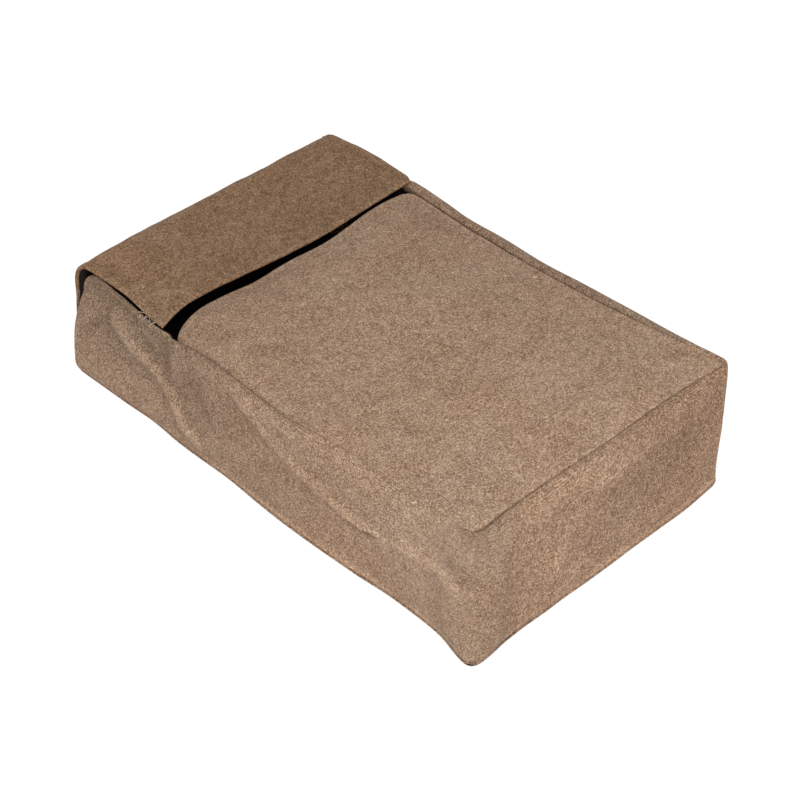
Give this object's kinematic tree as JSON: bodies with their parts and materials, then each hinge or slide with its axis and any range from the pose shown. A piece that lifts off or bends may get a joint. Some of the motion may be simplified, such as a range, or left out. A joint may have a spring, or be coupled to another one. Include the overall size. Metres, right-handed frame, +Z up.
{
  "type": "laptop sleeve",
  "caption": "Deep boxed laptop sleeve in padded canvas, lying on its back, open at one end under a folded flap.",
  "frame": {"origin": "under the middle of the sleeve, on the surface that its back lies on", "axes": "+X across the sleeve, +Y to the mouth, +Z up through the front panel"},
  "size_m": [0.242, 0.372, 0.0997],
  "materials": {
    "canvas": "matte",
    "flap_canvas": "matte",
    "lining": "matte",
    "foam": "matte",
    "board": "matte"
  },
  "bodies": {
    "sleeve": {"back_panel": "canvas", "front_panel": "canvas", "wall_strip": "canvas", "back_pad": "foam", "front_pad": "foam", "left_pad": "foam", "right_pad": "foam", "end_pad": "foam", "back_lining": "lining", "front_lining": "lining", "wall_lining": "lining", "left_facing": "canvas", "right_facing": "canvas", "lip_facing": "canvas"},
    "flap_end": {"flap_end_canvas": "flap_canvas", "flap_end_board": "board", "flap_end_lining": "lining"},
    "flap_top": {"flap_top_canvas": "flap_canvas", "flap_top_board": "board", "flap_top_lining": "lining"}
  },
  "joints": [
    {"name": "flap_lift", "type": "hinge", "parent": "sleeve", "child": "flap_end", "pos_m": [0, 0.18454, 0.00146], "axis": [-1, 0, 0], "range_deg": [0, 85]},
    {"name": "flap_fold", "type": "hinge", "parent": "flap_end", "child": "flap_top", "pos_m": [0, 0.18336, 0.08565], "axis": [-1, 0, 0], "range_deg": [0, 88.1]}
  ]
}
